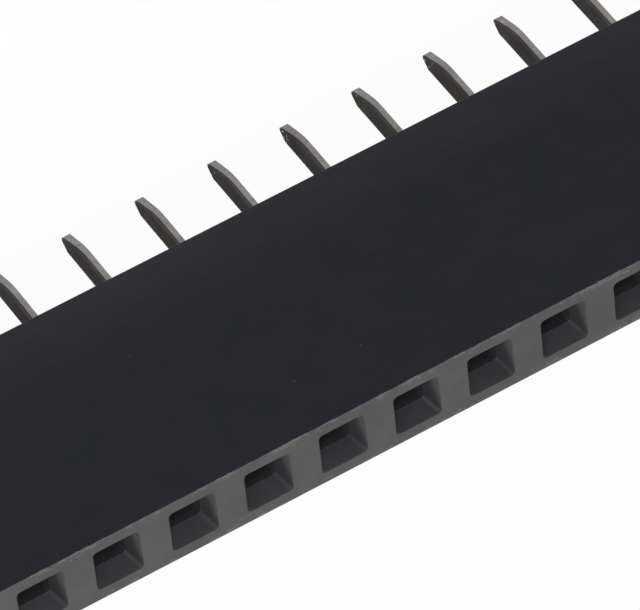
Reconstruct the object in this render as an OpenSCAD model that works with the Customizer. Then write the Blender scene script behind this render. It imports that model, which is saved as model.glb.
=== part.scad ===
// Female pin header strip: a single row of sprung contacts in a moulded housing.
//
// X runs along the row, Y across it and Z up, from the circuit board to the socket face.
// The origin is the middle of the housing's board face. Everything is in millimetres.

/* [Row] */
// Number of contact positions
positions = 20; // [2:1:40]
// Distance from one position to the next
pitch = 2.54; // [2.4:0.02:3.4]
// Housing left beyond the half pitch of each end position
end_allowance = 0.15; // [0.05:0.05:1]

/* [Housing] */
// Width of the housing across the row
housing_width = 2.54; // [2.3:0.02:3.6]
// Height of the housing from the board to the socket face
housing_height = 8.5; // [7.6:0.1:13]
// Wall between the long outer faces and the cavities
side_wall = 0.35; // [0.25:0.01:0.45]
// Radius along the four long edges
edge_radius = 0.05; // [0.03:0.01:0.2]

/* [Socket mouths] */
// Length of a mouth along the row, where it opens in the socket face
mouth_length = 1.58; // [1.3:0.02:1.9]
// Width of a mouth across the row
mouth_width = 1.66; // [1.3:0.02:1.9]
// Depth of the four sloping lead-in faces
lead_in_depth = 0.62; // [0.3:0.02:1]
// Width of the square throat that guides the pin
throat_width = 1.12; // [0.8:0.02:1.2]
// Length of the throat, from the lead-in to the spring chamber
throat_length = 0.5; // [0.3:0.05:1]

/* [Cavities] */
// Length along the row of the chamber where the springs flex
spring_chamber_length = 1.3; // [1:0.05:1.5]
// Length along the row of the chamber that holds the contact's channel
base_chamber_length = 1.7; // [1.6:0.05:2]
// Height above the board of the ledge that stops the channel
ledge_height = 3.1; // [2.8:0.1:4]
// Chamfer round each opening in the board face
entry_chamfer = 0.1; // [0.05:0.01:0.2]

/* [Contact sheet] */
// Thickness of the sheet metal
sheet = 0.3; // [0.2:0.01:0.35]
// Inside radius of the folds between the channel's web and cheeks
fold_radius = 0.1; // [0.05:0.01:0.2]
// Gap between the contact and the cavity that it is pushed into
fit_clearance = 0.02; // [0.01:0.005:0.05]
// Height above the board of the channel's lower edge
channel_low = 1.15; // [1.1:0.05:1.4]
// Distance that the barbs reach from the cheeks' free edges to the cavity wall
barb_reach = 0.3; // [0.15:0.01:0.4]
// Height of one barb's ramp
barb_height = 0.5; // [0.3:0.05:0.7]
// Height of the blunt face at a barb's end
barb_face = 0.08; // [0.04:0.01:0.15]
// Chamfer on the upper free corners of the cheeks, which lead the channel into its cavity
cheek_chamfer = 0.1; // [0.05:0.01:0.15]

/* [Contact springs] */
// Width of the square pin that the springs grip
pin_width = 0.64; // [0.5:0.01:0.7]
// Distance that each spring is pushed back by the pin
pin_grip = 0.08; // [0.04:0.01:0.12]
// Width of a spring where it leaves its cheek
spring_root_width = 0.76; // [0.6:0.02:0.88]
// Fillet between a spring's root and the top of its cheek
root_fillet = 0.06; // [0.03:0.01:0.1]
// Width of a spring at its tip
spring_tip_width = 0.56; // [0.4:0.02:0.6]
// Outside radius of the bow that touches the pin
bow_radius = 0.7; // [0.5:0.05:1]
// Height from the bow to the springs' tips
flare_height = 0.75; // [0.6:0.05:1]
// Angle at which the tips lean away from the pin
flare_angle = 33; // [20:1:38]
// Chamfer on the corners of the tips
tip_chamfer = 0.1; // [0.05:0.01:0.15]
// Gap between the springs' tips and the roof of their chamber
tip_clearance = 0.2; // [0.1:0.05:0.5]

/* [Solder tails] */
// Width of a tail across the row
tail_width = 0.77; // [0.4:0.01:0.9]
// Length of a tail below the board face
tail_length = 3.27; // [2.2:0.01:6]
// Height of the long slope on the front of a tail's point
point_front_height = 1.07; // [0.5:0.01:1.5]
// Height of the short slope on the back of the point
point_back_height = 0.24; // [0.1:0.01:0.5]
// Distance that the short slope cuts in from the back
point_back_cut = 0.19; // [0.05:0.01:0.2]
// Width of the flat that is left at the end of the point
point_flat = 0.2; // [0.05:0.01:0.2]
// Radius that blends the long slope into the tail's front
point_blend_radius = 2; // [0.5:0.1:3]
// Angle of the step that brings the tail to the middle of its position
step_angle = 50; // [35:1:60]
// Inside radius of the step's two bends
step_radius = 0.15; // [0.05:0.01:0.2]
// Height of the straight neck between the channel and the step
neck_height = 0.15; // [0.1:0.01:0.2]
// Fillet between the neck and the channel's lower edge
neck_fillet = 0.1; // [0.05:0.01:0.1]

/* [Hidden] */
// Rounded edges are drawn with this many sides where a program needs sides
$fn = 64;
// Cuts run this far past the faces that they open
overcut = 0.2;
// Straight stretches of the sheet run this far into the bends that they meet
lap = 0.01;

// Housing
housing_length = positions * pitch + 2 * end_allowance;
cavity_width = housing_width - 2 * side_wall;
throat_top = housing_height - lead_in_depth;
chamber_roof = throat_top - throat_length;

// Channel of the contact, whose web lies against the cavity's end wall
channel_top = ledge_height - fit_clearance;
web_back = fit_clearance - base_chamber_length / 2;
fold_x = web_back + sheet + fold_radius;
cheek_outside = cavity_width / 2 - fit_clearance;
cheek_inside = cheek_outside - sheet;
fold_y = cheek_inside - fold_radius;
cheek_edge = base_chamber_length / 2 - barb_reach;
barb_gap = (channel_top - channel_low - 2 * barb_height) / 3;

// Springs: each runs straight from its cheek to the bow, then flares to its tip
spring_gap = pin_width - 2 * pin_grip;
spring_top = chamber_roof - tip_clearance;
bow_height = spring_top - flare_height;
bow_centre = [spring_gap / 2 + bow_radius, bow_height];
root_offset = bow_centre - [cheek_inside, channel_top];
root_direction = atan2(root_offset.y, root_offset.x);
spring_lean = root_direction - acos(bow_radius / norm(root_offset));
root_reach = spring_root_width / 2 + root_fillet;

// Step between the channel's web and the tail, along the middle of the sheet
web_middle = web_back + sheet / 2;
step_middle_radius = step_radius + sheet / 2;
step_top = channel_low - neck_height;
step_straight = (-web_middle - 2 * step_middle_radius * (1 - cos(step_angle))) / sin(step_angle);
step_height = 2 * step_middle_radius * sin(step_angle) + step_straight * cos(step_angle);
tail_top = step_top - step_height;

// Point of the tail
point_front_cut = tail_width - point_back_cut - point_flat;
point_slope = atan2(point_front_cut, point_front_height);
blend_length = point_blend_radius * tan(point_slope / 2);
blend_steps = 6;

function contact_name(i) = str("contact_", i < 10 ? "0" : "", i);

// Extrudes an outline drawn in Y and Z along X, from one X to another.
module along_x(from, to) {
    translate([from, 0, 0]) rotate([90, 0, 90]) linear_extrude(to - from) children();
}

// Extrudes an outline drawn in X and Z along Y, from one Y to another.
module along_y(from, to) {
    translate([0, to, 0]) rotate([90, 0, 0]) linear_extrude(to - from) children();
}

// Puts the children at position i, counted from 1 at the -X end.
module at_position(i) {
    translate([(i - (positions + 1) / 2) * pitch, 0, 0]) children();
}

// Puts the children on the +Y side and, mirrored, on the -Y side.
module both_sides() {
    children();
    mirror([0, 1, 0]) children();
}

// Slice of a disc between two angles that are less than 120 degrees apart.
module slice(radius, from, to) {
    intersection() {
        circle(radius);
        polygon([[0, 0], polar(2 * radius, from), polar(2 * radius, to)]);
    }
}

function polar(radius, angle) = radius * [cos(angle), sin(angle)];

// Bent stretch of the sheet, seen from its edge.
module bend(inside_radius, from, to) {
    difference() {
        slice(inside_radius + sheet, from, to);
        circle(inside_radius);
    }
}

// Straight stretch of the sheet, seen from its edge, that lies to the right of a line.
module straight(from, to) {
    along = (to - from) / norm(to - from);
    across = sheet * [along.y, -along.x];
    start = from - lap * along;
    end = to + lap * along;
    polygon([start, end, end + across, start + across]);
}

// Fillet that fills the corner between the two axes.
module inside_fillet(radius) {
    difference() {
        square(radius);
        translate([radius, radius]) circle(radius);
    }
}

// Square funnel from one width at the bottom to another at the top.
module funnel(low, low_size, high, high_size) {
    half_low = low_size / 2;
    half_high = high_size / 2;
    intersection() {
        along_y(-max(half_low.y, half_high.y), max(half_low.y, half_high.y))
            polygon([[-half_low.x, low], [half_low.x, low], [half_high.x, high], [-half_high.x, high]]);
        along_x(-max(half_low.x, half_high.x), max(half_low.x, half_high.x))
            polygon([[-half_low.y, low], [half_low.y, low], [half_high.y, high], [-half_high.y, high]]);
    }
}

// Straight-sided space centred on the position's axis.
module space(low, high, size) {
    translate([-size.x / 2, -size.y / 2, low]) cube([size.x, size.y, high - low]);
}

// Everything that one position takes out of the housing.
module cavity() {
    mouth = [mouth_length, mouth_width];
    throat = [throat_width, throat_width];
    spread = (mouth - throat) / lead_in_depth * overcut;
    funnel(throat_top, throat, housing_height + overcut, mouth + spread);
    space(chamber_roof - overcut, throat_top + overcut / 2, throat);
    space(ledge_height - overcut, chamber_roof, [spring_chamber_length, cavity_width]);
    space(-overcut, ledge_height, [base_chamber_length, cavity_width]);
    entry = 2 * (entry_chamfer + overcut);
    funnel(-overcut, [base_chamber_length + entry, cavity_width + entry],
           entry_chamfer, [base_chamber_length, cavity_width]);
}

// Outline of the housing across the row, with its long edges rounded.
module housing_outline() {
    inset = housing_width / 2 - edge_radius;
    translate([-housing_width / 2, edge_radius])
        square([housing_width, housing_height - 2 * edge_radius]);
    translate([-inset, 0]) square([2 * inset, housing_height]);
    for (y = [-inset, inset], z = [edge_radius, housing_height - edge_radius])
        translate([y, z]) circle(edge_radius);
}

// One-piece moulded housing.
module housing() {
    color("#2c2c30")
    difference() {
        along_x(-housing_length / 2, housing_length / 2) housing_outline();
        for (i = [1:positions]) at_position(i) cavity();
    }
}

// Channel seen from above: a web across the back and a cheek folded along each side.
module channel_outline() {
    translate([web_back, -fold_y]) square([sheet, 2 * fold_y]);
    for (side = [0, 1]) mirror([0, side]) {
        translate([fold_x, fold_y]) bend(fold_radius, 90, 180);
        translate([fold_x, cheek_inside]) square([cheek_edge - fold_x, sheet]);
    }
}

// Barb seen from the side, with its ramp up and its blunt face down.
module barb_outline(low) {
    translate([cheek_edge, low])
        polygon([[0, 0], [barb_reach, 0], [barb_reach, barb_face], [0, barb_height]]);
}

// Cheek seen from the side, with its upper free corner cut off.
module cheek_outline() {
    polygon([
        [web_back, channel_low],
        [cheek_edge, channel_low],
        [cheek_edge, channel_top - cheek_chamfer],
        [cheek_edge - cheek_chamfer, channel_top],
        [web_back, channel_top],
    ]);
}

// Folded channel that the contact is held by.
module channel() {
    intersection() {
        translate([0, 0, channel_low]) linear_extrude(channel_top - channel_low) channel_outline();
        along_y(-cheek_outside, cheek_outside) cheek_outline();
    }
    for (low = [channel_low + barb_gap, channel_top - barb_gap - barb_height])
        both_sides() along_y(cheek_inside, cheek_outside) barb_outline(low);
}

// Spring seen along the row: a straight stretch, the bow and the flared tip.
module spring_profile() {
    root = [cheek_inside, channel_top];
    bow_start = bow_centre + polar(bow_radius, 180 + spring_lean);
    bow_end = bow_centre + polar(bow_radius, 180 - flare_angle);
    flare_length = (spring_top - bow_end.y) / cos(flare_angle);
    translate(root) slice(sheet, 0, spring_lean);
    straight(root, bow_start);
    translate(bow_centre) bend(bow_radius - sheet, 180 - flare_angle, 180 + spring_lean);
    straight(bow_end, bow_end + polar(flare_length, 90 - flare_angle));
}

// Half of the spring's width at a height.
function spring_half_width(z) =
    lookup(z, [[channel_top, spring_root_width / 2], [spring_top, spring_tip_width / 2]]);

// Spring seen across the row: it narrows evenly from its filleted root to its tip.
module spring_outline() {
    chamfer_low = spring_top - tip_chamfer;
    for (side = [0, 1]) mirror([side, 0]) {
        polygon([
            [-lap, channel_top],
            [spring_half_width(channel_top), channel_top],
            [spring_half_width(chamfer_low), chamfer_low],
            [spring_half_width(spring_top) - tip_chamfer, spring_top],
            [-lap, spring_top],
        ]);
        translate([spring_half_width(channel_top + root_fillet), channel_top])
            inside_fillet(root_fillet);
    }
}

// One of the two springs, on the +Y side.
module spring() {
    intersection() {
        along_x(-root_reach, root_reach) spring_profile();
        along_y(0, cavity_width / 2) spring_outline();
    }
}

// Step seen across the row, from the neck under the web to the top of the tail.
module step_outline() {
    upper_centre = [web_middle + step_middle_radius, step_top];
    lower_centre = [-step_middle_radius, tail_top];
    translate([web_back, step_top]) square([sheet, neck_height]);
    translate(upper_centre) bend(step_radius, 180, 180 + step_angle);
    straight(upper_centre + polar(step_radius, 180 + step_angle),
             lower_centre + polar(step_radius + sheet, step_angle));
    translate(lower_centre) bend(step_radius, 0, step_angle);
}

// Fillets that widen the neck into the channel's lower edge.
module neck_fillets() {
    both_sides() along_x(web_back, web_back + sheet)
        translate([tail_width / 2, channel_low]) mirror([0, 1]) inside_fillet(neck_fillet);
}

// Tail seen along the row, with the long slope of its point on the -Y side.
module tail_outline() {
    front = -tail_width / 2;
    shoulder = point_front_height - tail_length;
    blend_centre = [front + point_blend_radius, shoulder + blend_length];
    polygon(concat(
        [[front, tail_top + lap]],
        [for (k = [0:blend_steps])
            blend_centre - polar(point_blend_radius, point_slope * k / blend_steps)],
        [
            [front + point_front_cut, -tail_length],
            [front + point_front_cut + point_flat, -tail_length],
            [-front, point_back_height - tail_length],
            [-front, tail_top + lap],
        ]
    ));
}

// One stamped and folded contact, from its flared springs to its solder tail.
module contact() {
    color("#a9a7a0") {
        channel();
        both_sides() spring();
        neck_fillets();
        along_y(-tail_width / 2, tail_width / 2) step_outline();
        along_x(-sheet / 2, sheet / 2) tail_outline();
    }
}

housing();
for (i = [1:positions])
    at_position(i) contact();
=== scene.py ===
"""Dresses a female pin header strip and sets it in a plain studio.

The strip is a moulded housing with a row of funnel-mouthed cavities and one folded,
sprung contact in each. Sizes are in millimetres until a mesh is made. Everything stands
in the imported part's frame: X along the row, Y across it and Z from the circuit board to
the socket face, with the origin in the middle of the housing's board face.
"""

import logging
import math
from collections.abc import Callable, Iterable, Mapping, Sequence
from dataclasses import dataclass
from enum import Enum
from itertools import pairwise
from typing import ClassVar

import bmesh
import bpy
from mathutils import Matrix, Vector

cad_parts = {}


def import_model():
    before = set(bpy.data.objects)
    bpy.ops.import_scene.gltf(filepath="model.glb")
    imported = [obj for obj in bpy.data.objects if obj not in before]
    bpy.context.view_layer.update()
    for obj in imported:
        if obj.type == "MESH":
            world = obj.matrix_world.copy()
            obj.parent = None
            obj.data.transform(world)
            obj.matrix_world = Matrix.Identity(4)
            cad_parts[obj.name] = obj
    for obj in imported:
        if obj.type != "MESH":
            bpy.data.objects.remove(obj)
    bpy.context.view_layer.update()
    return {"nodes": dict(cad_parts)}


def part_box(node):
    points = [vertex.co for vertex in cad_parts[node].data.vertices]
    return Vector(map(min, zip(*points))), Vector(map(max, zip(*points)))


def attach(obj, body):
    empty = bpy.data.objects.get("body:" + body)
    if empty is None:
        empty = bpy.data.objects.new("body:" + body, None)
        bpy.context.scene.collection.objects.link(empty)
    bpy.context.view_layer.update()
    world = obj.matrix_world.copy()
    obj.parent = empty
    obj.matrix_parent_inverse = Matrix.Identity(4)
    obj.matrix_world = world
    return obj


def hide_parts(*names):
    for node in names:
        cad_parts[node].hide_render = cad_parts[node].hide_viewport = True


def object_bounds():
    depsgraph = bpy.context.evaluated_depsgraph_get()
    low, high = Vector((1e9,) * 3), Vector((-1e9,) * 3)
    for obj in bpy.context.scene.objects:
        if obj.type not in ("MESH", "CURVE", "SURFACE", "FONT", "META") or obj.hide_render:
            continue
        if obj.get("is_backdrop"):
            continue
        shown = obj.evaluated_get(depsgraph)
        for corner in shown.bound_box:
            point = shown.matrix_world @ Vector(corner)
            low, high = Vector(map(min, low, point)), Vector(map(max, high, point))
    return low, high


MM = 0.001
WELD = 1e-4
SHARP_EDGE = math.radians(38)
EASE = 0.3  # middle step of a rounded end, as a share of its radius
NOISE_SPREAD = (0.3, 0.7)  # range that noise mostly keeps to

Colour = tuple[float, float, float]
Socket = bpy.types.NodeSocket
Sockets = bpy.types.NodeOutputs
Value = Socket | float | Colour
Material = bpy.types.Material
Piece = bpy.types.Object
Vertex = bmesh.types.BMVert

log = logging.getLogger("pin_header")


class Zone(Enum):
    """Surfaces of the housing that differ in finish."""

    SOCKET_FACE = 0
    SIDE = 1
    LEAD_IN = 2
    CAVITY = 3
    BOARD_FACE = 4
    SAWN_END = 5


class Skin(Enum):
    """Surfaces of the contact sheet that differ in finish."""

    ROLLED = 0
    SHEARED = 1


# ---------------------------------------------------------------- outlines and meshes


def arc(centre: Vector, radius: float, start: float, end: float, steps: int) -> list[Vector]:
    """Places points along an arc between two angles in degrees, with both ends."""
    angles = (math.radians(start + (end - start) * k / steps) for k in range(steps + 1))
    return [centre + radius * Vector((math.cos(a), math.sin(a))) for a in angles]


def rounded_rectangle(
    low: Vector, high: Vector, radii: Sequence[float], steps: int
) -> list[Vector]:
    """Draws a rectangle with an arc at each corner.

    Args:
        low: Lowest corner of the rectangle.
        high: Highest corner of the rectangle.
        radii: Radius at the corners, anticlockwise from the highest.
        steps: Number of steps in each arc.

    Returns:
        The closed outline, anticlockwise, with steps + 1 points at each corner.
    """
    points = []
    for corner, radius in enumerate(radii):
        x = high.x - radius if corner in (0, 3) else low.x + radius
        y = high.y - radius if corner in (0, 1) else low.y + radius
        points += arc(Vector((x, y)), radius, 90 * corner, 90 * corner + 90, steps)
    return points


def softened(path: Sequence[Vector], reach: Sequence[float], steps: int) -> list[list[Vector]]:
    """Rounds the inner corners of a path with short curves.

    Args:
        path: Corner points of the path, in any number of dimensions.
        reach: Distance from each point at which its curve starts; 0 leaves it sharp.
        steps: Number of steps in each curve.

    Returns:
        One list of points for each point of the path.
    """
    rounded = [[path[0]]]
    for before, point, after, distance in zip(path, path[1:], path[2:], reach[1:]):
        if distance == 0:
            rounded.append([point])
            continue
        start = point + (before - point).normalized() * distance
        end = point + (after - point).normalized() * distance
        curve = []
        for k in range(steps + 1):
            t = k / steps
            curve.append(start.lerp(point, t).lerp(point.lerp(end, t), t))
        rounded.append(curve)
    return [*rounded, [path[-1]]]


def eased(radius: float) -> tuple[tuple[float, float], ...]:
    """Gives the steps of a rounded end, as distances back from it and insets there."""
    return (radius, 0.0), (EASE * radius, EASE * radius), (0.0, radius)


def linked(name: str, data: bpy.types.ID) -> Piece:
    """Makes an object of some data and links it to the scene.

    Args:
        name: Name of the object.
        data: Its mesh, lamp or camera.

    Returns:
        The object.
    """
    made = bpy.data.objects.new(name, data)
    bpy.context.scene.collection.objects.link(made)
    return made


class Draft:
    """Mesh that is being drawn, in millimetres."""

    def __init__(self) -> None:
        """Starts with an empty mesh."""
        self.mesh = bmesh.new()

    def ring(self, points: Iterable[Vector]) -> list[Vertex]:
        """Adds one vertex at each point."""
        return [self.mesh.verts.new(point) for point in points]

    def face(self, corners: Sequence[Vertex], zone: Enum) -> None:
        """Adds one face.

        Args:
            corners: Vertices round the face.
            zone: Surface that the face belongs to.
        """
        face = self.mesh.faces.new(corners)
        face.material_index = zone.value
        face.smooth = True

    def bridge(
        self,
        first: Sequence[Vertex],
        second: Sequence[Vertex],
        zone_of: Callable[[int], Enum | None],
    ) -> None:
        """Joins two closed rings with a band of four-sided faces.

        Args:
            first: Vertices of one ring.
            second: Vertices of the other ring, as many and in the same order.
            zone_of: Gives each face's surface from its place in the ring, or None where
                the band stays open.
        """
        count = len(first)
        for k in range(count):
            zone = zone_of(k)
            if zone is not None:
                after = (k + 1) % count
                self.face((first[k], first[after], second[after], second[k]), zone)

    def make(self, name: str, materials: Sequence[Material]) -> Piece:
        """Turns the draft into an object, in metres, with smooth weighted shading.

        Args:
            name: Name of the object.
            materials: Material of each zone, in the order of the zones' values.

        Returns:
            The new object, linked to the scene.
        """
        mesh = self.mesh
        bmesh.ops.remove_doubles(mesh, verts=mesh.verts, dist=WELD)
        bmesh.ops.dissolve_degenerate(mesh, edges=mesh.edges, dist=WELD)
        bmesh.ops.recalc_face_normals(mesh, faces=mesh.faces)
        for edge in mesh.edges:
            edge.smooth = edge.is_manifold and edge.calc_face_angle() < SHARP_EDGE
        bmesh.ops.scale(mesh, vec=(MM, MM, MM), verts=mesh.verts)
        data = bpy.data.meshes.new(name)
        mesh.to_mesh(data)
        mesh.free()
        for material in materials:
            data.materials.append(material)
        made = linked(name, data)
        made.modifiers.new("weighted_normals", "WEIGHTED_NORMAL").keep_sharp = True
        return made


# ------------------------------------------------------------------- shader building


class Graph:
    """Adds shader nodes to one tree and joins them."""

    def __init__(self, tree: bpy.types.NodeTree) -> None:
        """Takes the tree that the nodes go in."""
        self.tree = tree

    @classmethod
    def of(cls, owner: Material | bpy.types.World) -> "Graph":
        """Empties the tree of a new material or world.

        Args:
            owner: The material or world.

        Returns:
            The graph that fills it.
        """
        owner.use_nodes = True
        owner.node_tree.nodes.clear()
        return cls(owner.node_tree)

    def add(
        self, kind: str, inputs: Mapping[str | int, Value] | None = None, **settings: object
    ) -> bpy.types.Node:
        """Adds one node.

        Args:
            kind: The node's type, without the ShaderNode that every type starts with.
            inputs: What goes into its inputs, by their names or places.
            settings: Properties to set on the node.

        Returns:
            The new node.
        """
        node = self.tree.nodes.new("ShaderNode" + kind)
        for name, value in settings.items():
            setattr(node, name, value)
        for key, value in (inputs or {}).items():
            self.feed(node.inputs[key], value)
        return node

    def feed(self, target: Socket, value: Value) -> None:
        """Links a socket to another, or sets it to a plain value.

        Args:
            target: Input socket.
            value: Output socket, number or colour.
        """
        if isinstance(value, Socket):
            self.tree.links.new(value, target)
        elif isinstance(value, tuple) and target.type == "RGBA":
            target.default_value = (*value, 1.0)
        else:
            target.default_value = value

    def math(self, operation: str, *terms: Value, kind: str = "Math") -> Socket:
        """Adds a Math node, or another node that takes its operation in the same way."""
        return self.add(kind, dict(enumerate(terms)), operation=operation).outputs[0]

    def vector(self, operation: str, *terms: Value) -> Socket:
        """Adds a Vector Math node whose result is a vector."""
        return self.math(operation, *terms, kind="VectorMath")

    def ramp(
        self, value: Value, start: Value, end: Value, low: Value = 0.0, high: Value = 1.0
    ) -> Socket:
        """Maps a number smoothly from the range start to end to the range low to high."""
        terms = dict(enumerate((value, start, end, low, high)))
        return self.add("MapRange", terms, interpolation_type="SMOOTHSTEP").outputs[0]

    def mix(self, share: Value, first: Value, second: Value) -> Socket:
        """Mixes two colours, with the given share of the second."""
        return self.add("Mix", {0: share, 6: first, 7: second}, data_type="RGBA").outputs[2]

    def noise(self, vector: Socket, scale: Value, detail: float = 2.0) -> Socket:
        """Adds noise of about 0.5 on average, with scale waves in a millimetre."""
        inputs = {"Vector": vector, "Scale": scale, "Detail": detail}
        return self.add("TexNoise", inputs).outputs[0]

    def warped(self, vector: Socket, scale: Value, reach: Value) -> Socket:
        """Shifts coordinates by noise with scale waves in a millimetre, up to about the reach."""
        noise = self.add("TexNoise", {"Vector": vector, "Scale": scale})
        return self.vector("MULTIPLY_ADD", noise.outputs["Color"], reach, vector)

    def axes(self, vector: Socket) -> Sockets:
        """Splits coordinates into X, Y and Z."""
        return self.add("SeparateXYZ", {0: vector}).outputs

    def looking(self) -> Socket:
        """Tells the rays that show the surroundings from those that light the part.

        Returns:
            1 for rays from the camera, from a mirroring surface or through a clear one.
        """
        path = self.add("LightPath").outputs
        seen = self.math("MAXIMUM", path["Is Camera Ray"], path["Is Glossy Ray"])
        return self.math("MAXIMUM", seen, path["Is Transmission Ray"])

    def millimetres(self) -> Socket:
        """Gives the object's own coordinates, in millimetres."""
        return self.vector("DIVIDE", self.add("TexCoord").outputs["Object"], (MM, MM, MM))


class Effect:
    """Shader effect that more than one material uses, kept as one node group.

    Attributes:
        name: Name of the node group.
        numbers: Its number inputs and their usual values.
    """

    name: ClassVar[str]
    numbers: ClassVar[dict[str, float]]

    def draw(self, graph: Graph, inputs: Sockets) -> Socket:
        """Draws the inside of the group and returns its mask."""
        raise NotImplementedError

    def group(self) -> bpy.types.NodeTree:
        """Builds the node group at the first call.

        Returns:
            The node group.
        """
        tree = bpy.data.node_groups.get(self.name)
        if tree is None:
            tree = bpy.data.node_groups.new(self.name, "ShaderNodeTree")
            sockets = tree.interface
            sockets.new_socket("Vector", in_out="INPUT", socket_type="NodeSocketVector")
            sockets.new_socket("Mask", in_out="OUTPUT", socket_type="NodeSocketFloat")
            for name, value in self.numbers.items():
                number = sockets.new_socket(name, in_out="INPUT", socket_type="NodeSocketFloat")
                number.default_value = value
            inside = tree.nodes.new("NodeGroupInput")
            outside = tree.nodes.new("NodeGroupOutput")
            tree.links.new(self.draw(Graph(tree), inside.outputs), outside.inputs["Mask"])
        return tree

    def place(self, graph: Graph, vector: Socket, **numbers: Value) -> Socket:
        """Uses the effect in a material, with its inputs by their names."""
        inputs = {"Vector": vector, **numbers}
        return graph.add("Group", inputs, node_tree=self.group()).outputs["Mask"]


class Blotches(Effect):
    """Broad, soft patches in which a tone drifts."""

    name = "soft_blotches"
    numbers = {"Scale": 1.0, "Contrast": 0.5}
    warp_scale = 0.6
    warp_reach = (0.7, 0.7, 0.7)

    def draw(self, graph: Graph, inputs: Sockets) -> Socket:
        """Draws noise that is warped by coarser noise, and spreads it from 0 to 1.

        Args:
            graph: Tree of the group.
            inputs: The group's inputs.

        Returns:
            The patches, 0.5 on average.
        """
        coarse = graph.math("MULTIPLY", inputs["Scale"], self.warp_scale)
        bent = graph.warped(inputs["Vector"], coarse, self.warp_reach)
        patches = graph.noise(bent, inputs["Scale"])
        low = graph.math("MULTIPLY", graph.math("SUBTRACT", 1.0, inputs["Contrast"]), 0.5)
        return graph.ramp(patches, low, graph.math("SUBTRACT", 1.0, low))


class Specks(Effect):
    """Small separate specks, such as dust and fine chips."""

    name = "scattered_specks"
    numbers = {"Scale": 3.0, "Size": 0.1, "Share": 0.1}
    ragged_scale = 4.0
    ragged_reach = (0.12, 0.12, 0.12)
    smallest = 0.4
    core = 0.4

    def draw(self, graph: Graph, inputs: Sockets) -> Socket:
        """Draws a dot in some cells of a Voronoi pattern.

        Args:
            graph: Tree of the group.
            inputs: The group's inputs.

        Returns:
            The specks, 1 at their middles.
        """
        scale = inputs["Scale"]
        fine = graph.math("MULTIPLY", scale, self.ragged_scale)
        reach = graph.vector("DIVIDE", self.ragged_reach, scale)
        ragged = graph.warped(inputs["Vector"], fine, reach)
        cells = graph.add("TexVoronoi", {"Vector": ragged, "Scale": scale})
        random = graph.add("SeparateColor", {0: cells.outputs["Color"]}).outputs
        chosen = graph.math("LESS_THAN", random[0], inputs["Share"])
        size = graph.math("MULTIPLY", inputs["Size"], graph.math("ADD", self.smallest, random[1]))
        middle = graph.math("MULTIPLY", size, self.core)
        return graph.math("MULTIPLY", graph.ramp(cells.outputs["Distance"], size, middle), chosen)


class Streaks(Effect):
    """Fine lines drawn out along one direction, as rolling and moulding leave."""

    name = "drawn_streaks"
    numbers = {"Scale": 6.0, "Stretch X": 1.0, "Stretch Y": 1.0, "Stretch Z": 1.0}
    detail = 3.0

    def draw(self, graph: Graph, inputs: Sockets) -> Socket:
        """Draws noise in stretched coordinates.

        Args:
            graph: Tree of the group.
            inputs: The group's inputs.

        Returns:
            The lines, 0.5 on average.
        """
        stretch = graph.add("CombineXYZ", {axis: inputs["Stretch " + axis] for axis in "XYZ"})
        drawn = graph.vector("DIVIDE", inputs["Vector"], stretch.outputs[0])
        return graph.ramp(graph.noise(drawn, inputs["Scale"], self.detail), *NOISE_SPREAD)


class Grain(Effect):
    """Fine grain of a moulded or sawn surface."""

    name = "fine_grain"
    numbers = {"Scale": 26.0}
    detail = 3.0

    def draw(self, graph: Graph, inputs: Sockets) -> Socket:
        """Draws plain noise, about 0.5 on average."""
        return graph.noise(inputs["Vector"], inputs["Scale"], self.detail)


class PaintedLightRamp(Effect):
    """Painted light: a paler colour that ramps in towards one height."""

    name = "painted_light_ramp"
    numbers = {"Start": 2.4, "Full": 0.0, "Lean": 0.0}

    def draw(self, graph: Graph, inputs: Sockets) -> Socket:
        """Draws a ramp between two heights that may rise towards +Y.

        Args:
            graph: Tree of the group.
            inputs: The group's inputs.

        Returns:
            The painted light, 1 where it is strongest.
        """
        axes = graph.axes(inputs["Vector"])
        lean = graph.math("MULTIPLY", axes["Y"], inputs["Lean"])
        height = graph.math("SUBTRACT", axes["Z"], lean)
        return graph.ramp(height, inputs["Start"], inputs["Full"])


class EdgeWear(Effect):
    """Pale, ragged wear along the housing's long edges."""

    name = "edge_wear"
    numbers = {"Half Width": 1.27, "Height": 8.5, "Reach": 0.28, "Share": 0.3}
    cluster_scale = 0.9
    cluster_weight = 0.7
    fleck_scale = 11.0
    fleck_detail = 3.0
    fleck_stretch = (0.4, 1.0, 1.0)
    fade = 0.25
    limit = 1.1
    share_weight = 0.5
    softness = 0.18

    def draw(self, graph: Graph, inputs: Sockets) -> Socket:
        """Draws flecks that thin out with the distance from the nearest long edge.

        Args:
            graph: Tree of the group.
            inputs: The group's inputs.

        Returns:
            The wear, 1 where the plastic is bare.
        """
        place = inputs["Vector"]
        axes = graph.axes(place)
        middle = graph.math("MULTIPLY", inputs["Height"], 0.5)
        above = graph.math("ABSOLUTE", graph.math("SUBTRACT", axes["Z"], middle))
        across = graph.math("ABSOLUTE", axes["Y"])
        gap = graph.math(
            "MAXIMUM",
            graph.math("SUBTRACT", middle, above),
            graph.math("SUBTRACT", inputs["Half Width"], across),
        )
        clusters = graph.noise(place, self.cluster_scale)
        drawn = graph.vector("MULTIPLY", place, self.fleck_stretch)
        flecks = graph.noise(drawn, self.fleck_scale, self.fleck_detail)
        score = graph.math("MULTIPLY_ADD", clusters, self.cluster_weight, flecks)
        far = graph.math("DIVIDE", gap, inputs["Reach"])
        score = graph.math("SUBTRACT", score, graph.math("MULTIPLY", far, self.fade))
        eager = graph.math("MULTIPLY", inputs["Share"], self.share_weight)
        limit = graph.math("SUBTRACT", self.limit, eager)
        return graph.ramp(score, limit, graph.math("ADD", limit, self.softness))


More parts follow.
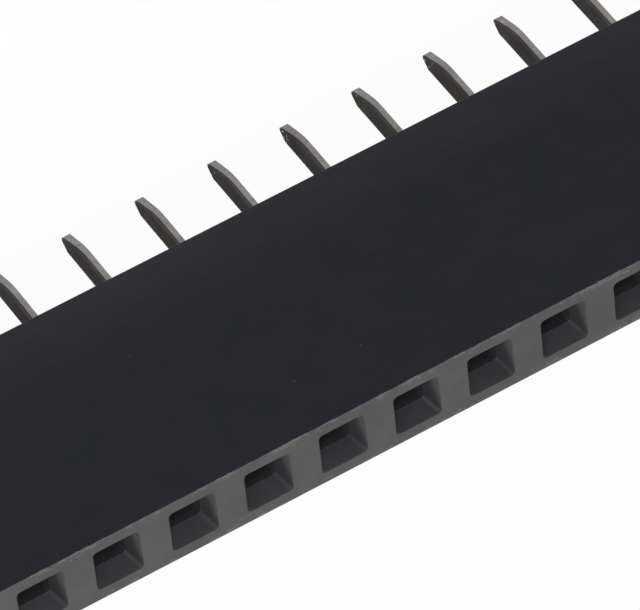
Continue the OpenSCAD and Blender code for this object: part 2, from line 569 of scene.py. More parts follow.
class PointWearAndLight(Effect):
    """Worn plating and painted light towards the points of the solder tails."""

    name = "point_wear_and_light"
    kinds = ("Chips", "PaintedTipLight", "Cut")
    numbers = {
        "Chips": 0.0, "Chips Top": -2.5, "Chips Full": -3.0,
        # The second kind is painted light that pales the metal towards the points, not wear.
        "PaintedTipLight": 0.0, "PaintedTipLight Top": -1.85, "PaintedTipLight Full": -2.75,
        "Cut": 0.6, "Cut Top": -3.2, "Cut Full": -3.24,
    }

    def draw(self, graph: Graph, inputs: Sockets) -> Socket:
        """Draws each kind of wear, and the painted light, between the heights where it starts and is
        full.

        Args:
            graph: Tree of the group.
            inputs: The group's inputs.

        Returns:
            The wear and painted light, 1 where either is full.
        """
        height = graph.axes(inputs["Vector"])["Z"]
        bare_and_lit = 0.0
        for kind in self.kinds:
            top, full = inputs[kind + " Top"], inputs[kind + " Full"]
            bare_and_lit = graph.math("MAXIMUM", bare_and_lit, graph.ramp(height, top, full, 0.0, inputs[kind]))
        return bare_and_lit


BLOTCHES = Blotches()
SPECKS = Specks()
STREAKS = Streaks()
GRAIN = Grain()
PAINTED_LIGHT_RAMP = PaintedLightRamp()
EDGE_WEAR = EdgeWear()
POINT_WEAR_AND_LIGHT = PointWearAndLight()


@dataclass(frozen=True)
class Finish:
    """Common parts of every finish.

    Attributes:
        name: Name of the material.
        roughness: Mean roughness.
        swing: Distance that the roughness goes up and down.
        specular: Specular IOR level.
        relief: Height of the surface texture, in millimetres.
        metallic: Metallic value.
        edge_tint: Grey that dims the gloss at grazing angles; 1 leaves it as it is.
    """

    name: str
    roughness: float
    swing: float
    specular: float
    relief: float
    metallic: ClassVar[float] = 0.0
    edge_tint: ClassVar[float] = 1.0

    def principled(self, graph: Graph, colour: Socket, rough: Socket, height: Socket) -> None:
        """Adds the shader and the output.

        Args:
            graph: Tree of the material.
            colour: Base colour.
            rough: Pattern from 0 to 1 that moves the roughness.
            height: Pattern from 0 to 1 that the relief follows.
        """
        bump = graph.add("Bump", {"Distance": self.relief * MM, "Height": height})
        low, high = self.roughness - self.swing, self.roughness + self.swing
        inputs = {
            "Base Color": colour,
            "Roughness": graph.ramp(rough, 0.0, 1.0, low, high),
            "Metallic": self.metallic,
            "Specular IOR Level": self.specular,
            "Specular Tint": (self.edge_tint,) * 3,
            "Normal": bump.outputs[0],
        }
        shader = graph.add("BsdfPrincipled", inputs)
        graph.add("OutputMaterial", {"Surface": shader.outputs[0]})


@dataclass(frozen=True)
class PlasticFinish(Finish):
    """Finish of one zone of the moulded housing.

    Attributes:
        warm: Colour of the plastic's warmer patches.
        cool: Colour of its cooler patches.
        patch: Patches in a millimetre.
        grain: Waves of the fine surface grain in a millimetre.
        mottle: How far the grain moves the colour's brightness.
        flow: How far flow lines along the row move it.
        dust: Share of places that hold a speck of dust.
        dust_weight: How far the dust hides the plastic.
        wear: Share of the long edges that is worn pale.
        wear_reach: Distance from those edges that the wear thins out over.
        worn: Colour of worn edges and dust.
        painted_light: Painted light, a paler colour that the surface ramps to towards one height, if
            it has any.
        painted_light_start: Height at which the painted light starts.
        painted_light_full: Height at which it is strongest.
        painted_light_lean: How far both heights rise for each millimetre towards +Y.
    """

    warm: Colour
    cool: Colour
    patch: float = 0.8
    grain: float = 26.0
    mottle: float = 0.3
    flow: float = 0.15
    dust: float = 0.04
    dust_weight: float = 0.4
    wear: float = 0.0
    wear_reach: float = 0.3
    worn: Colour = (0.105, 0.105, 0.105)
    painted_light: Colour | None = None
    painted_light_start: float = 2.4
    painted_light_full: float = 0.0
    painted_light_lean: float = 0.0

    def brightness(self, graph: Graph, place: Socket, grain: Socket) -> Socket:
        """Adds up what moves the colour's brightness.

        Args:
            graph: Tree of the material.
            place: Coordinates, in millimetres.
            grain: Fine grain, about 0.5 on average.

        Returns:
            The factor for the colour, about 1 on average.
        """
        half = self.mottle / 2
        factor = graph.ramp(grain, *NOISE_SPREAD, 1.0 - half, 1.0 + half)
        if self.flow > 0:
            lines = STREAKS.place(graph, place, **{"Scale": 5.0, "Stretch X": 6.0})
            centred = graph.math("SUBTRACT", lines, 0.5)
            factor = graph.math("MULTIPLY_ADD", centred, self.flow, factor)
        return factor

    def material(self) -> Material:
        """Builds the material.

        Returns:
            The material.
        """
        material = bpy.data.materials.new(self.name)
        graph = Graph.of(material)
        place = graph.millimetres()
        patches = BLOTCHES.place(graph, place, Scale=self.patch, Contrast=0.5)
        colour = graph.mix(patches, self.warm, self.cool)
        # Painted light: the colour pales towards one height, as light falling there would make it.
        if self.painted_light is not None:
            heights = {"Start": self.painted_light_start, "Full": self.painted_light_full, "Lean": self.painted_light_lean}
            colour = graph.mix(PAINTED_LIGHT_RAMP.place(graph, place, **heights), colour, self.painted_light)
        grain = GRAIN.place(graph, place, Scale=self.grain)
        scaling = {0: colour, "Scale": self.brightness(graph, place, grain)}
        colour = graph.add("VectorMath", scaling, operation="SCALE").outputs[0]
        dust = SPECKS.place(graph, place, Scale=2.6, Size=0.12, Share=self.dust)
        colour = graph.mix(graph.math("MULTIPLY", dust, self.dust_weight), colour, self.worn)
        if self.wear > 0:
            worn = EDGE_WEAR.place(graph, place, Share=self.wear, Reach=self.wear_reach)
            colour = graph.mix(worn, colour, self.worn)
        self.principled(graph, colour, patches, grain)
        return material


@dataclass(frozen=True)
class MetalFinish(Finish):
    """Finish of one skin of the tinned contacts.

    Attributes:
        bright: Colour of the cleaner tin; on the rolled skin it is darkened as painted shade.
        dull: Colour of the dulled tin; on the rolled skin it is darkened as painted shade.
        along: How far the streaks are drawn out along X, Y and Z.
        patch_weight: Share of the tone that patches decide, with the streaks for the rest.
        stain: Share of places that hold a dark stain.
        stain_weight: How far a stain dulls the tin.
        chips: Share of places near the tails' points where the plating has chipped.
        painted_tip_light: Painted light that pales all the metal towards the points.
        bare_and_lit: Colour of the metal where the plating is gone, also the colour of the painted
            light at the points.
    """

    metallic: ClassVar[float] = 1.0
    # Painted shade in the reflection: the grey edge tint dims the tin's gloss of the pale floor and
    # world at grazing angles, keeping the tails dark.
    edge_tint: ClassVar[float] = 0.39

    bright: Colour
    dull: Colour
    along: Colour
    patch_weight: float = 0.6
    stain: float = 0.08
    stain_weight: float = 0.5
    chips: float = 0.27
    painted_tip_light: float = 0.0
    bare_and_lit: Colour = (0.52, 0.494, 0.458)

    def material(self) -> Material:
        """Builds the material.

        Returns:
            The material.
        """
        material = bpy.data.materials.new(self.name)
        graph = Graph.of(material)
        place = graph.millimetres()
        patches = BLOTCHES.place(graph, place, Scale=1.6, Contrast=0.6)
        stretch = {"Stretch " + axis: far for axis, far in zip("XYZ", self.along)}
        lines = STREAKS.place(graph, place, Scale=9.0, **stretch)
        drawn = graph.math("MULTIPLY", lines, 1.0 - self.patch_weight)
        tone = graph.math("MULTIPLY_ADD", patches, self.patch_weight, drawn)
        colour = graph.mix(tone, self.bright, self.dull)
        stains = SPECKS.place(graph, place, Scale=3.0, Size=0.3, Share=self.stain)
        colour = graph.mix(graph.math("MULTIPLY", stains, self.stain_weight), colour, self.dull)
        chips = SPECKS.place(graph, place, Scale=9.0, Size=0.42, Share=self.chips)
        # Chipped and cut plating shows the metal, and painted light pales all of it towards the
        # points.
        bare_and_lit = POINT_WEAR_AND_LIGHT.place(graph, place, Chips=chips, PaintedTipLight=self.painted_tip_light)
        colour = graph.mix(bare_and_lit, colour, self.bare_and_lit)
        self.principled(graph, colour, tone, lines)
        return material


# ----------------------------------------------------------------------- the strip


@dataclass(frozen=True)
class Row:
    """Places of the contact positions.

    Attributes:
        count: Number of positions.
        pitch: Distance from one position to the next.
    """

    count: int
    pitch: float

    @classmethod
    def of(cls, nodes: Iterable[str]) -> "Row":
        """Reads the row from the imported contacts.

        Args:
            nodes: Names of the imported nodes.

        Returns:
            The row.
        """
        contacts = sorted(name for name in nodes if name.startswith("contact_"))
        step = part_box(contacts[1])[0].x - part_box(contacts[0])[0].x
        return cls(len(contacts), step / MM)

    def middle(self, index: int) -> float:
        """Gives the X of a position, counted from 0 at the -X end."""
        return (index - (self.count - 1) / 2) * self.pitch


@dataclass
class Housing:
    """Moulded housing with one funnel-mouthed cavity for each position."""

    row: Row
    length: float
    width: float
    height: float
    edge_radius: float = 0.05
    end_radius: float = 0.03
    mouth_length: float = 1.58
    mouth_width: float = 1.66
    mouth_corner: float = 0.16
    mouth_land: float = 0.12
    mouth_softness: float = 0.05
    lead_in_depth: float = 0.62
    throat_width: float = 1.12
    throat_corner: float = 0.12
    throat_length: float = 0.5
    throat_softness: float = 0.03
    side_wall: float = 0.35
    spring_chamber_length: float = 1.3
    base_chamber_length: float = 1.7
    ledge_height: float = 3.1
    chamber_corner: float = 0.05
    chamber_softness: float = 0.03
    entry_chamfer: float = 0.1
    corner_steps: int = 4
    edge_steps: int = 4

    def levels(self) -> list[tuple[Vector, float, Zone]]:
        """Lists the rings of one cell, from the socket face down to the board face.

        Returns:
            For each ring its half length, half width, corner radius and height, then how
            far from it the surface starts to round, then the surface that follows it.
        """
        cell = (self.row.pitch / 2, self.width / 2 - self.edge_radius, 0.0)
        mouth = Vector((self.mouth_length / 2, self.mouth_width / 2))
        land = mouth + Vector((self.mouth_land, self.mouth_land))
        throat = self.throat_width / 2
        throat_top = self.height - self.lead_in_depth
        roof = throat_top - self.throat_length
        cavity = self.width / 2 - self.side_wall
        corner = self.chamber_corner
        spring = (self.spring_chamber_length / 2, cavity, corner)
        base = (self.base_chamber_length / 2, cavity, corner)
        entry = tuple(size + self.entry_chamfer for size in base[:2])
        hole = (throat, throat, self.throat_corner)
        soft = self.chamber_softness
        return [
            (Vector((*cell, self.height)), 0.0, Zone.SOCKET_FACE),
            (Vector((*land, self.mouth_corner, self.height)), 0.0, Zone.SOCKET_FACE),
            (Vector((*mouth, self.mouth_corner, self.height)), self.mouth_softness, Zone.LEAD_IN),
            (Vector((*hole, throat_top)), self.throat_softness, Zone.CAVITY),
            (Vector((*hole, roof)), soft, Zone.CAVITY),
            (Vector((*spring, roof)), soft, Zone.CAVITY),
            (Vector((*spring, self.ledge_height)), soft, Zone.CAVITY),
            (Vector((*base, self.ledge_height)), soft, Zone.CAVITY),
            (Vector((*base, self.entry_chamfer)), soft, Zone.CAVITY),
            (Vector((*entry, corner, 0.0)), soft, Zone.BOARD_FACE),
            (Vector((*cell, 0.0)), 0.0, Zone.BOARD_FACE),
        ]

    def cell(self, draft: Draft, middle: float) -> None:
        """Draws the socket face, the cavity and the board face of one position.

        Args:
            draft: Mesh to draw in.
            middle: X of the position.
        """
        levels = self.levels()
        path = [level for level, _, _ in levels]
        reach = [distance for _, distance, _ in levels]
        rings, zones = [], []
        before = Zone.SOCKET_FACE
        for (_, _, zone), points in zip(levels, softened(path, reach, self.edge_steps)):
            for k, (half_x, half_y, radius, z) in enumerate(points):
                outline = rounded_rectangle(
                    Vector((middle - half_x, -half_y)),
                    Vector((middle + half_x, half_y)),
                    (radius,) * 4,
                    self.corner_steps,
                )
                rings.append(draft.ring(Vector((*point, z)) for point in outline))
                zones.append(before if 2 * k < len(points) - 1 else zone)
            before = zone
        for (first, second), zone in zip(pairwise(rings), zones):
            draft.bridge(first, second, lambda _, zone=zone: zone)

    def section(self, draft: Draft, x: float, inset: float = 0.0) -> list[Vertex]:
        """Adds the outline across the row at one X, shrunk by the inset all round."""
        outline = rounded_rectangle(
            Vector((inset - self.width / 2, inset)),
            Vector((self.width / 2 - inset, self.height - inset)),
            (self.edge_radius,) * 4,
            self.edge_steps,
        )
        return draft.ring(Vector((x, *point)) for point in outline)

    def zone_of(self, place: int) -> Zone:
        """Gives the surface of a face of the outside.

        Args:
            place: The face's place round the outline.

        Returns:
            The surface.
        """
        flats = (Zone.SOCKET_FACE, Zone.SIDE, Zone.BOARD_FACE, Zone.SIDE)
        corner, step = divmod(place, self.edge_steps + 1)
        return flats[corner - 1] if 2 * step < self.edge_steps else flats[corner]

    def wall_zone_of(self, place: int) -> Zone | None:
        """Gives the surface of a face where the cells close the socket and board faces.

        Args:
            place: The face's place round the outline.

        Returns:
            The surface, or None where a cell closes the outline.
        """
        corner, step = divmod(place, self.edge_steps + 1)
        closed = step == self.edge_steps and corner in (0, 2)
        return None if closed else self.zone_of(place)

    def end(self, draft: Draft, side: int) -> None:
        """Draws the short sawn length beyond the last position.

        Args:
            draft: Mesh to draw in.
            side: 1 for the +X end and -1 for the -X end.
        """
        tip = self.length / 2
        root = self.row.count * self.row.pitch / 2
        steps = ((tip - root, 0.0), *eased(self.end_radius))
        rings = [self.section(draft, side * (tip - back), inset) for back, inset in steps]
        for first, second in pairwise(rings):
            draft.bridge(first, second, self.zone_of)
        draft.face(rings[-1], Zone.SAWN_END)

    def build(self, materials: Sequence[Material]) -> Piece:
        """Builds the housing.

        Args:
            materials: Material of each zone.

        Returns:
            The housing, riding on the part in place of its plain node.
        """
        draft = Draft()
        for index in range(self.row.count):
            self.cell(draft, self.row.middle(index))
        half = self.row.pitch / 2
        stations = [self.row.middle(index) - half for index in range(self.row.count + 1)]
        walls = [self.section(draft, x) for x in stations]
        for first, second in pairwise(walls):
            draft.bridge(first, second, self.wall_zone_of)
        for side in (-1, 1):
            self.end(draft, side)
        return fitted(draft.make("moulded_housing", materials), "housing")


@dataclass(frozen=True)
class Station:
    """One cross-section of a strip of sheet.

    Attributes:
        centre: Middle of the sheet's thickness.
        inward: Direction through the sheet, towards the inside of its folds.
        low: Lower edge, along the strip's width.
        high: Upper edge, along the strip's width.
        inset: Distance that the section is shrunk by, all round.
        roll: Share of the rolled edges' radii that is left there.
    """

    centre: Vector
    inward: Vector
    low: float
    high: float
    inset: float = 0.0
    roll: float = 1.0


@dataclass(frozen=True)
class Sheet:
    """Stamped sheet metal, with a rolled-over edge on one side and a burr on the other."""

    thickness: float = 0.3
    low_roll_radius: float = 0.12
    high_roll_radius: float = 0.03
    burr_radius: float = 0.01
    end_radius: float = 0.02
    steps: int = 4

    def skin_of(self, place: int) -> Skin:
        """Gives the skin of a face.

        Args:
            place: The face's place round the section.

        Returns:
            The skin.
        """
        side, step = divmod(place, self.steps + 1)
        if step < self.steps:
            return Skin.ROLLED if side in (0, 3) else Skin.SHEARED
        return Skin.SHEARED if side in (0, 2) else Skin.ROLLED

    def strip(self, draft: Draft, stations: Sequence[Station], across: Vector) -> None:
        """Draws a closed strip through its cross-sections.

        Args:
            draft: Mesh to draw in.
            stations: The cross-sections in order.
            across: Direction of the strip's width.
        """
        burr = self.burr_radius
        rings = []
        for at in stations:
            half = self.thickness / 2 - at.inset
            radii = (at.roll * self.high_roll_radius, burr, burr, at.roll * self.low_roll_radius)
            outline = rounded_rectangle(
                Vector((-half, at.low + at.inset)),
                Vector((half, at.high - at.inset)),
                radii,
                self.steps,
            )
            rings.append(draft.ring(at.centre + at.inward * u + across * v for u, v in outline))
        for first, second in pairwise(rings):
            draft.bridge(first, second, self.skin_of)
        for end in (rings[0], rings[-1]):
            draft.face(end, Skin.SHEARED)


@dataclass
class Contact:
    """One stamped and folded contact: channel, two springs, step and solder tail."""

    sheet: Sheet = Sheet()
    overlap: float = 0.1
    overlap_inset: float = 0.01
    channel_low: float = 1.15
    channel_top: float = 3.08
    web_back: float = -0.83
    cheek_outside: float = 0.9
    cheek_edge: float = 0.55
    cheek_chamfer: float = 0.1
    fold_radius: float = 0.1
    fold_steps: int = 6
    barb_reach: float = 0.3
    barb_height: float = 0.5
    barb_face: float = 0.08
    bow_radius: float = 0.7
    bow_steps: int = 10
    spring_gap: float = 0.48
    spring_top: float = 7.18
    spring_root_width: float = 0.76
    root_fillet: float = 0.06
    root_fillet_steps: tuple[float, ...] = (0.15, 0.35, 0.6, 1.0)
    root_turn_steps: int = 3
    spring_tip_width: float = 0.56
    flare_height: float = 0.75
    flare_angle: float = 33.0
    tip_chamfer: float = 0.1
    tail_width: float = 0.77
    tail_length: float = 3.27
    point_front_height: float = 1.07
    point_back_height: float = 0.3
    point_back_cut: float = 0.3
    point_flat: float = 0.09
    point_blend_radius: float = 2.0
    point_blend_top: float = 0.35
    point_blend_step: float = 0.1
    point_blend_steps: int = 8
    point_slope_height: float = 0.45
    point_corner_gap: float = 0.05
    point_low_height: float = 0.12
    roll_at_point: float = 0.45
    roll_rise: float = 0.4
    roll_for_width: float = 2.0
    step_angle: float = 50.0
    step_radius: float = 0.15
    neck_height: float = 0.15
    neck_fillet: float = 0.1
    neck_fillet_steps: tuple[float, ...] = (0.08, 0.25, 0.5, 1.0)

    def channel(self, draft: Draft, middle: float) -> None:
        """Draws the folded channel, a web with a cheek at each side.

        Args:
            draft: Mesh to draw in.
            middle: X of the position.
        """
        half = self.sheet.thickness / 2
        bend = self.fold_radius + half
        fold = Vector((self.web_back + half + bend, self.cheek_outside - half - bend))
        soft = self.sheet.end_radius
        free = self.cheek_edge
        cheek = self.cheek_outside - half
        cut = self.cheek_chamfer
        places = [
            (Vector((free - back, cheek)), Vector((0, -1)), inset, cut - back)
            for back, inset in ((0.0, soft), (soft, 0.0), (cut, 0.0))
        ]
        for point in arc(fold, bend, 90, 180, self.fold_steps):
            places.append((point, (fold - point) / bend, 0.0, 0.0))
        mirrored = [
            (Vector((point.x, -point.y)), Vector((inward.x, -inward.y)), inset, drop)
            for point, inward, inset, drop in reversed(places)
        ]
        offset = Vector((middle, 0, 0))
        low, high = self.channel_low, self.channel_top
        stations = [
            Station(offset + point.to_3d(), inward.to_3d(), low, high - drop, inset)
            for point, inward, inset, drop in places + mirrored
        ]
        self.sheet.strip(draft, stations, Vector((0, 0, 1)))

    def barbs(self, draft: Draft, middle: float) -> None:
        """Draws the barbs on the free edges of the cheeks.

        Args:
            draft: Mesh to draw in.
            middle: X of the position.
        """
        gap = (self.channel_top - self.channel_low - 2 * self.barb_height) / 3
        root = self.cheek_edge - self.overlap
        tip = self.cheek_edge + self.barb_reach
        inset = self.overlap_inset
        outer = self.cheek_outside
        sides = (outer - inset, outer - self.sheet.thickness + inset)
        for low in (self.channel_low + gap, self.channel_top - gap - self.barb_height):
            outline = (
                (root, low),
                (tip, low),
                (tip, low + self.barb_face),
                (self.cheek_edge, low + self.barb_height),
                (root, low + self.barb_height),
            )
            for sign in (-1, 1):
                faces = [
                    draft.ring(Vector((middle + x, sign * y, z)) for x, z in outline) for y in sides
                ]
                draft.bridge(faces[0], faces[1], lambda _: Skin.SHEARED)
                for face in faces:
                    draft.face(face, Skin.ROLLED)

    def spring_width(self, z: float) -> float:
        """Gives the width of a spring, with its root fillets and tip chamfers.

        Args:
            z: Height above the board face.

        Returns:
            The width at that height.
        """
        low, high = self.channel_top, self.spring_top
        share = min(max((z - low) / (high - low), 0.0), 1.0)
        width = self.spring_root_width + (self.spring_tip_width - self.spring_root_width) * share
        depth = self.root_fillet - max(z - low, 0.0)
        if depth > 0:
            width += 2 * (self.root_fillet - math.sqrt(self.root_fillet**2 - depth**2))
        return width - 2 * max(0.0, z - high + self.tip_chamfer)

    def spring(self, draft: Draft, middle: float, side: int) -> None:
        """Draws one leaf spring, from inside its cheek to its flared tip.

        Args:
            draft: Mesh to draw in.
            middle: X of the position.
            side: 1 for the spring on the +Y side and -1 for the other.
        """
        half = self.sheet.thickness / 2
        root = Vector((self.cheek_outside - self.sheet.thickness, self.channel_top))
        bow = Vector((self.spring_gap / 2 + self.bow_radius, self.spring_top - self.flare_height))
        reach = bow - root
        lean = math.degrees(math.atan2(reach.y, reach.x) - math.acos(self.bow_radius / reach.length))
        out = Vector((math.cos(math.radians(lean)), math.sin(math.radians(lean))))
        upright = Vector((1, 0))
        lower = root + half * upright
        places = [
            (lower - Vector((0, self.overlap)), upright, self.overlap_inset),
            (lower, upright, self.overlap_inset),
        ]
        for k in range(1, self.root_turn_steps + 1):
            turned = upright.lerp(out, k / self.root_turn_steps).normalized()
            places.append((root + half * turned, turned, 0.0))
        rise = Vector((-out.y, out.x))
        for share in self.root_fillet_steps:
            places.append((root + half * out + share * self.root_fillet * rise, out, 0.0))
        turn = self.bow_radius - half
        for point in arc(bow, turn, 180 + lean, 180 - self.flare_angle, self.bow_steps):
            places.append((point, (bow - point) / turn, 0.0))
        last, inward, _ = places[-1]
        along = Vector((-inward.y, inward.x))
        length = (self.spring_top - last.y) / along.y - half * abs(inward.y) / along.y
        cut = self.tip_chamfer / along.y
        for back, inset in ((cut, 0.0), *eased(self.sheet.end_radius)):
            places.append((last + along * (length - back), inward, inset))
        stations = []
        for point, outward, inset in places:
            wide = self.spring_width(point.y) / 2
            centre = Vector((middle, side * point.x, point.y))
            through = -Vector((0, side * outward.x, outward.y))
            stations.append(Station(centre, through, -wide, wide, inset))
        self.sheet.strip(draft, stations, Vector((1, 0, 0)))

    def tail_edges(self, z: float) -> tuple[float, float]:
        """Gives the front and back edges of the tail at a height.

        Args:
            z: Height above the board face.

        Returns:
            Y of the front edge and Y of the back edge.
        """
        half = self.tail_width / 2
        near = self.channel_low - z
        if near < self.neck_fillet:
            depth = self.neck_fillet - max(near, 0.0)
            wide = half + self.neck_fillet - math.sqrt(self.neck_fillet**2 - depth**2)
            return -wide, wide
        above = z + self.tail_length
        cut = self.tail_width - self.point_back_cut - self.point_flat
        slope = math.atan2(cut, self.point_front_height)
        blend = self.point_blend_radius * math.tan(slope / 2)
        start = self.point_front_height + blend
        end = self.point_front_height - blend * math.cos(slope)
        if above >= start:
            front = 0.0
        elif above > end:
            depth = start - above
            front = self.point_blend_radius - math.sqrt(self.point_blend_radius**2 - depth**2)
        else:
            front = cut * (1 - above / self.point_front_height)
        back = self.point_back_cut * max(0.0, 1 - above / self.point_back_height)
        return front - half, half - back

    def tail(self, draft: Draft, middle: float) -> None:
        """Draws the neck, the step and the solder tail.

        Args:
            draft: Mesh to draw in.
            middle: X of the position.
        """
        half = self.sheet.thickness / 2
        web = self.web_back + half
        radius = self.step_radius + half
        angle = math.radians(self.step_angle)
        step_top = self.channel_low - self.neck_height
        straight = (-web - 2 * radius * (1 - math.cos(angle))) / math.sin(angle)
        tail_top = step_top - 2 * radius * math.sin(angle) - straight * math.cos(angle)
        right = Vector((1, 0))
        fillet = self.neck_fillet
        places = [
            (Vector((web, self.channel_low + self.overlap)), right, self.overlap_inset),
            (Vector((web, self.channel_low)), right, self.overlap_inset),
        ]
        for share in self.neck_fillet_steps:
            places.append((Vector((web, self.channel_low - share * fillet)), right, 0.0))
        upper = Vector((web + radius, step_top))
        for point in arc(upper, radius, 180, 180 + self.step_angle, self.fold_steps):
            places.append((point, (upper - point) / radius, 0.0))
        lower = Vector((-radius, tail_top))
        for point in arc(lower, radius, self.step_angle, 0, self.fold_steps):
            places.append((point, (point - lower) / radius, 0.0))
        tip = -self.tail_length
        crest = self.point_front_height + self.point_blend_top
        corner = self.point_back_height
        heights = [
            *(crest - self.point_blend_step * k for k in range(self.point_blend_steps)),
            self.point_slope_height,
            corner + self.point_corner_gap,
            corner,
            self.point_low_height,
        ]
        steps = [*((height, 0.0) for height in heights), *eased(self.sheet.end_radius)]
        places += [(Vector((0, tip + above)), right, inset) for above, inset in steps]
        stations = []
        for point, inward, inset in places:
            front, back = self.tail_edges(point.y)
            rising = self.roll_rise * (point.y - tip) / self.point_front_height
            narrow = self.roll_for_width * (back - front - 2 * inset)
            roll = min(1.0, self.roll_at_point + rising, narrow)
            centre = Vector((middle + point.x, 0, point.y))
            through = Vector((inward.x, 0, inward.y))
            stations.append(Station(centre, through, front, back, inset, roll))
        self.sheet.strip(draft, stations, Vector((0, 1, 0)))

    def build(self, number: int, middle: float, materials: Sequence[Material]) -> Piece:
        """Builds one contact.

        Args:
            number: Number of the contact, from 1 at the -X end.
            middle: X of its position.
            materials: Material of each skin.

        Returns:
            The contact, riding on the part in place of its plain node.
        """
        draft = Draft()
        self.channel(draft, middle)
        self.barbs(draft, middle)
        for side in (-1, 1):
            self.spring(draft, middle, side)
        self.tail(draft, middle)
        made = draft.make(f"formed_contact_{number:02d}", materials)
        return fitted(made, f"contact_{number:02d}")


def fitted(piece: Piece, node: str) -> Piece:
    """Fixes a piece to the part in place of one of its plain nodes.

    Args:
        piece: The new piece.
        node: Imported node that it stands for.

    Returns:
        The same piece.
    """
    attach(piece, "root")
    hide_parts(node)
    return piece


# ---------------------------------------------------------------------- the studio


@dataclass(frozen=True)
class FloorFinish:
    """Plain pale floor.

    Attributes:
        pale: Colour of the floor's paler patches.
        dim: Colour of its dimmer patches.
        roughness: Roughness.
        specular: Specular IOR level.
        white_share: Share of plain white in the floor, as the camera and gloss see it.
    """

    pale: Colour = (0.82, 0.82, 0.82)
    dim: Colour = (0.7954, 0.7954, 0.7954)
    roughness: float = 0.9
    specular: float = 0.1
    white_share: float = 0.96

    def material(self) -> Material:
        """Builds the material.

        Returns:
            The material.
        """
        material = bpy.data.materials.new("pale_floor")
        graph = Graph.of(material)
        patches = BLOTCHES.place(graph, graph.millimetres(), Scale=0.05, Contrast=0.5)
        inputs = {
            "Base Color": graph.mix(patches, self.pale, self.dim),
            "Roughness": self.roughness,
            "Specular IOR Level": self.specular,
        }
        surface = graph.add("BsdfPrincipled", inputs).outputs[0]
        white = graph.add("Emission").outputs[0]
        share = graph.math("MULTIPLY", graph.looking(), self.white_share)
        both = graph.add("MixShader", {0: share, 1: surface, 2: white})
        graph.add("OutputMaterial", {"Surface": both.outputs[0]})
        return material


@dataclass(frozen=True)
class Lamp:
    """Soft square lamp that faces the strip.

    Attributes:
        name: Name of the lamp.
        towards: Direction from the strip to the lamp.
        distance: Distance from the strip, in metres.
        size: Width of the lamp, in metres.
        level: Light that it brings to a surface facing it, where 1 shows white as white.
    """

    name: str
    towards: Vector
    distance: float
    size: float
    level: float

    def place(self, target: Vector) -> None:
        """Puts the lamp in the scene.

        Args:
            target: Point that it faces, in metres.
        """
        data = bpy.data.lights.new(self.name, "AREA")
        data.shape = "SQUARE"
        data.size = self.size
        data.energy = self.level * (math.pi * self.distance) ** 2
        lamp = linked(self.name, data)
        direction = self.towards.normalized()
        lamp.location = target + direction * self.distance
        lamp.rotation_euler = direction.to_track_quat("Z", "Y").to_euler()


@dataclass(frozen=True)
class View:
    """Camera, placed by where it looks from.

    Attributes:
        target: Point on the housing's front that it looks at, in millimetres.
        azimuth: Angle round the strip from its front towards +X, in degrees.
        elevation: Angle above the board's plane, in degrees.
        roll: Anticlockwise turn of the camera about its view, in degrees.
        distance: Distance from the target, in millimetres.
        focal_length: Focal length, in millimetres.
        sensor_width: Width of the sensor, in millimetres.
        clip: Nearest and farthest distance that it sees, in metres.
    """

    target: Vector
    azimuth: float = 21.31
    elevation: float = 36.532
    roll: float = 139.748
    distance: float = 243.67
    focal_length: float = 467.97
    sensor_width: float = 36.0
    clip: tuple[float, float] = (0.01, 10.0)

    def place(self) -> None:
        """Puts the camera in the scene and makes it the scene's own."""
        data = bpy.data.cameras.new("camera")
        data.lens = self.focal_length
        data.sensor_width = self.sensor_width
        data.clip_start, data.clip_end = self.clip
        camera = linked("camera", data)
        around, above = math.radians(self.azimuth), math.radians(self.elevation)
        level = Vector((math.sin(around), -math.cos(around), 0)) * math.cos(above)
        back = level + Vector((0, 0, math.sin(above)))
        place = Matrix.Translation((self.target + back * self.distance) * MM)
        upright = back.to_track_quat("Z", "Y").to_matrix().to_4x4()
        camera.matrix_world = place @ upright @ Matrix.Rotation(math.radians(self.roll), 4, "Z")
        bpy.context.scene.camera = camera


@dataclass
class Studio:
    """Floor, world, lamp and camera.

    Attributes:
        floor_width: Width of the floor, in metres.
        floor_finish: Its finish.
        ambient: Strength of the world as a light, where 1 is what it looks like.
        lamp: The one lamp.
        view: The camera.
    """

    floor_width: float = 3.0
    floor_finish: FloorFinish = FloorFinish()
    ambient: float = 0.2
    lamp: Lamp = Lamp("key", Vector((0.37, -0.27, 0.89)), distance=0.12, size=0.07, level=0.85)
    view: View = View(Vector((2.06, -1.27, 4.515)))

    def floor(self, height: float) -> None:
        """Lays the floor.

        Args:
            height: Its height, in metres.
        """
        half = self.floor_width / 2
        mesh = bpy.data.meshes.new("floor")
        corners = [(-half, -half, 0), (half, -half, 0), (half, half, 0), (-half, half, 0)]
        mesh.from_pydata(corners, [], [(0, 1, 2, 3)])
        mesh.materials.append(self.floor_finish.material())
        floor = linked("floor", mesh)
        floor.location.z = height
        floor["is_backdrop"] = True

    def world(self) -> None:
        """Sets a world that is white to look at and dimmer as a light."""
        world = bpy.data.worlds.new("studio")
        graph = Graph.of(world)
        strength = graph.math("MULTIPLY_ADD", graph.looking(), 1.0 - self.ambient, self.ambient)
        backdrop = graph.add("Background", {"Color": (1.0, 1.0, 1.0), "Strength": strength})
        graph.add("OutputWorld", {"Surface": backdrop.outputs[0]})
        bpy.context.scene.world = world

    def build(self) -> None:
        """Builds the studio round the part."""
        low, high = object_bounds()
        self.floor(low[2])
        self.world()
        self.lamp.place((Vector(low) + Vector(high)) / 2)
        self.view.place()
        bpy.context.scene.view_settings.view_transform = "Standard"


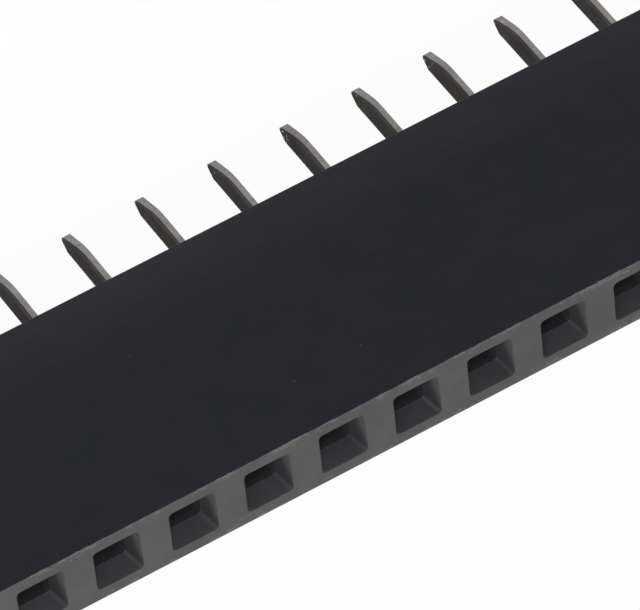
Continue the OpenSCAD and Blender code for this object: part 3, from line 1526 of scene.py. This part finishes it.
HOUSING_FINISHES: dict[Zone, PlasticFinish] = {
    Zone.SOCKET_FACE: PlasticFinish(
        "plastic_socket_face", roughness=0.62, swing=0.06, specular=0.5, relief=0.003,
        warm=(0.058, 0.055, 0.054), cool=(0.050, 0.051, 0.052), flow=0.0, mottle=0.16, wear=0.7,
    ),
    # Painted shade and light: the sides get a much darker colour than the socket face of the same
    # plastic, standing in for shade, and pale towards the board face as painted floor bounce.
    Zone.SIDE: PlasticFinish(
        "plastic_side_painted_light_and_shade", roughness=0.45, swing=0.06, specular=0.17, relief=0.001,
        warm=(0.0109, 0.0097, 0.0158), cool=(0.0087, 0.0103, 0.0161), dust=0.008, wear=0.6,
        wear_reach=0.05, painted_light=(0.0222, 0.0215, 0.0292), painted_light_start=2.7,
    ),
    # Painted shade and light: the lead-in walls get a darker colour than the socket face, standing
    # in for shade in the funnels, and pale back to the socket face's colour near the mouths, deeper
    # towards -Y, as painted light.
    Zone.LEAD_IN: PlasticFinish(
        "plastic_lead_in_painted_light_and_shade", roughness=0.68, swing=0.06, specular=0.3, relief=0.003,
        warm=(0.0195, 0.0185, 0.022), cool=(0.0165, 0.017, 0.021), flow=0.0, mottle=0.2,
        painted_light=(0.058, 0.056, 0.056), painted_light_start=8.14, painted_light_full=8.55, painted_light_lean=0.4,
    ),
    Zone.CAVITY: PlasticFinish(
        "plastic_cavity", roughness=0.55, swing=0.05, specular=0.4, relief=0.002,
        warm=(0.034, 0.032, 0.037), cool=(0.030, 0.030, 0.035), flow=0.0,
    ),
    Zone.BOARD_FACE: PlasticFinish(
        "plastic_board_face", roughness=0.55, swing=0.06, specular=0.3, relief=0.003,
        warm=(0.022, 0.021, 0.023), cool=(0.018, 0.019, 0.022), wear=0.35,
    ),
    Zone.SAWN_END: PlasticFinish(
        "plastic_sawn_end", roughness=0.75, swing=0.1, specular=0.3, relief=0.02,
        warm=(0.030, 0.029, 0.028), cool=(0.020, 0.021, 0.022), grain=9.0, dust=0.3,
    ),
}

CONTACT_FINISHES: dict[Skin, MetalFinish] = {
    # Painted shade: the wide rolled faces get a far darker colour than the sheared edges of the same
    # tin, standing in for the dark reflection of shade they show.
    Skin.ROLLED: MetalFinish(
        "tin_rolled_painted_shade", roughness=0.56, swing=0.05, specular=0.5, relief=0.0015,
        bright=(0.085, 0.0808, 0.0765), dull=(0.0629, 0.0595, 0.0561), along=(1.0, 1.0, 9.0),
    ),
    # Painted light: the sheared edges pale towards the tails' points.
    Skin.SHEARED: MetalFinish(
        "tin_sheared_with_painted_tip_light", roughness=0.44, swing=0.08, specular=0.5, relief=0.003,
        bright=(0.31, 0.3, 0.29), dull=(0.23, 0.22, 0.21), along=(5.0, 1.0, 1.5), painted_tip_light=0.1,
    ),
}


def main() -> None:
    """Builds the strip and its studio."""
    logging.basicConfig(level=logging.INFO, format="%(message)s")
    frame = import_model()
    row = Row.of(frame["nodes"])
    low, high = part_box("housing")
    length, width, height = (high - low) / MM
    plastics = [HOUSING_FINISHES[zone].material() for zone in Zone]
    housing = Housing(row, length, width, height).build(plastics)
    log.info("%s: %d faces", housing.name, len(housing.data.polygons))
    metals = [CONTACT_FINISHES[skin].material() for skin in Skin]
    for index in range(row.count):
        contact = Contact().build(index + 1, row.middle(index), metals)
        log.info("%s: %d faces", contact.name, len(contact.data.polygons))
    Studio().build()


if __name__ == "__main__":
    main()
